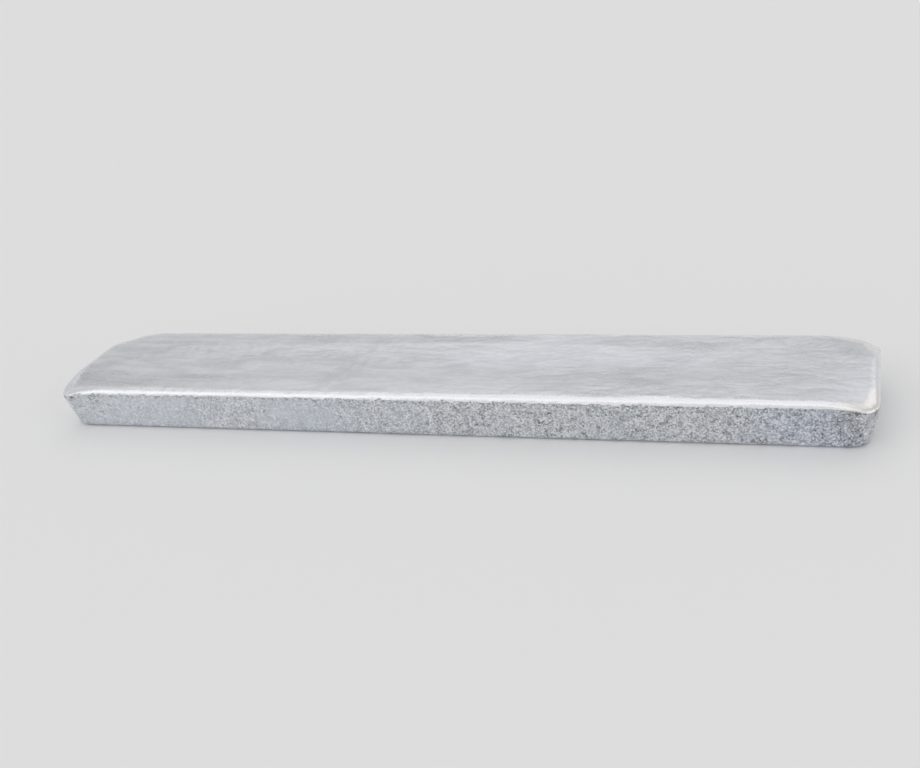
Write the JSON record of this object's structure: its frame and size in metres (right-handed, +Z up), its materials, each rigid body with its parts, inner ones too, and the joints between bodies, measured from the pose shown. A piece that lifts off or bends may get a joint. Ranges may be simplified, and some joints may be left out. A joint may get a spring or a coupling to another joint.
{
  "type": "magnesium alloy ingot",
  "caption": "Long cast bar of magnesium alloy for remelting: drafted walls, a rounded rim with low corners, an open frozen top and a shallow arch along the underside.",
  "frame": {"origin": "centre of the footprint, on the floor under the ingot", "axes": "+X along the ingot, +Y across it, +Z up through the open top"},
  "size_m": [0.75, 0.14, 0.044],
  "materials": {
    "cast_magnesium": "as cast, satin grey, grainy walls with a brighter frozen rim"
  },
  "bodies": {
    "root": {"ingot": "cast_magnesium"}
  },
  "joints": []
}
